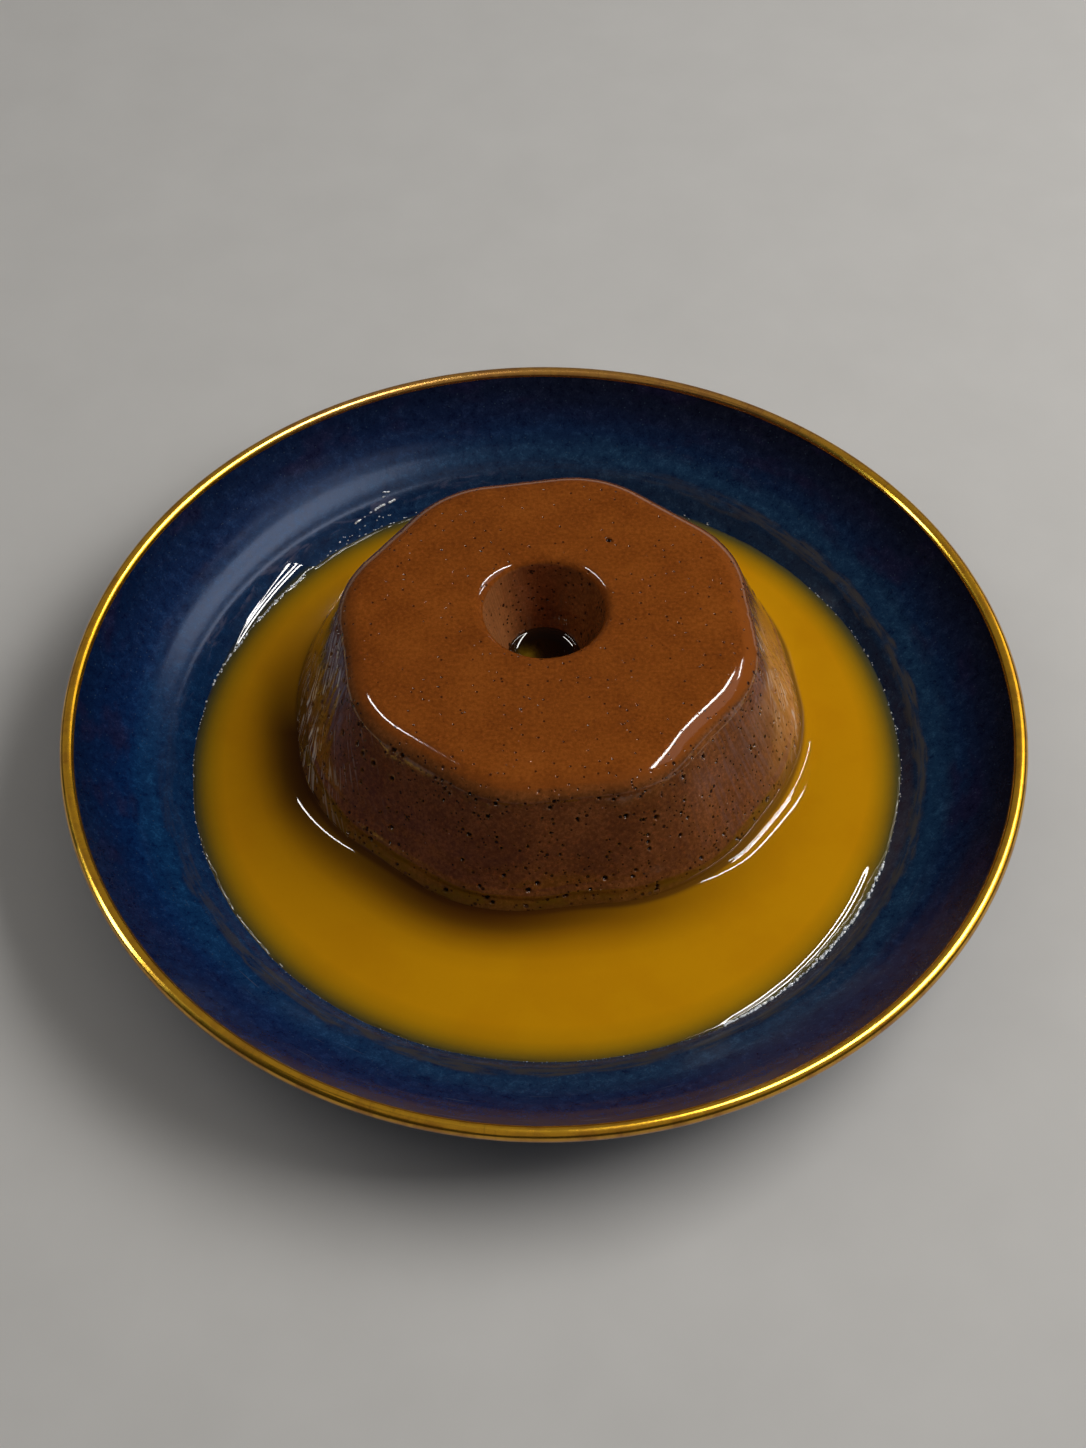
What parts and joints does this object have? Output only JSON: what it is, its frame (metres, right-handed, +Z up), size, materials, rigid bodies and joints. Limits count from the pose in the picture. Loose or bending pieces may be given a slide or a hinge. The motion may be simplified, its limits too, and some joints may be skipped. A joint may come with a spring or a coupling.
{
  "type": "creme caramel flan",
  "caption": "Octagonal ring-mould caramel custard with a tapered centre hole, standing in a pool of caramel sauce on a round coupe plate with a gilded lip.",
  "frame": {"origin": "centre of the plate's foot ring, on the surface that the plate stands on", "axes": "+Z up; -Y is the front, the side the camera looks from; the flan stands 15 mm behind the plate's centre"},
  "size_m": [0.27, 0.27, 0.0528],
  "materials": {
    "blue_glaze": "gloss",
    "gilding": "satin",
    "custard": "gloss",
    "caramel_sauce": "polished"
  },
  "bodies": {
    "root": {"plate": "blue_glaze", "flan": "custard", "sauce_pool": "caramel_sauce", "hole_sauce": "caramel_sauce"}
  },
  "joints": []
}
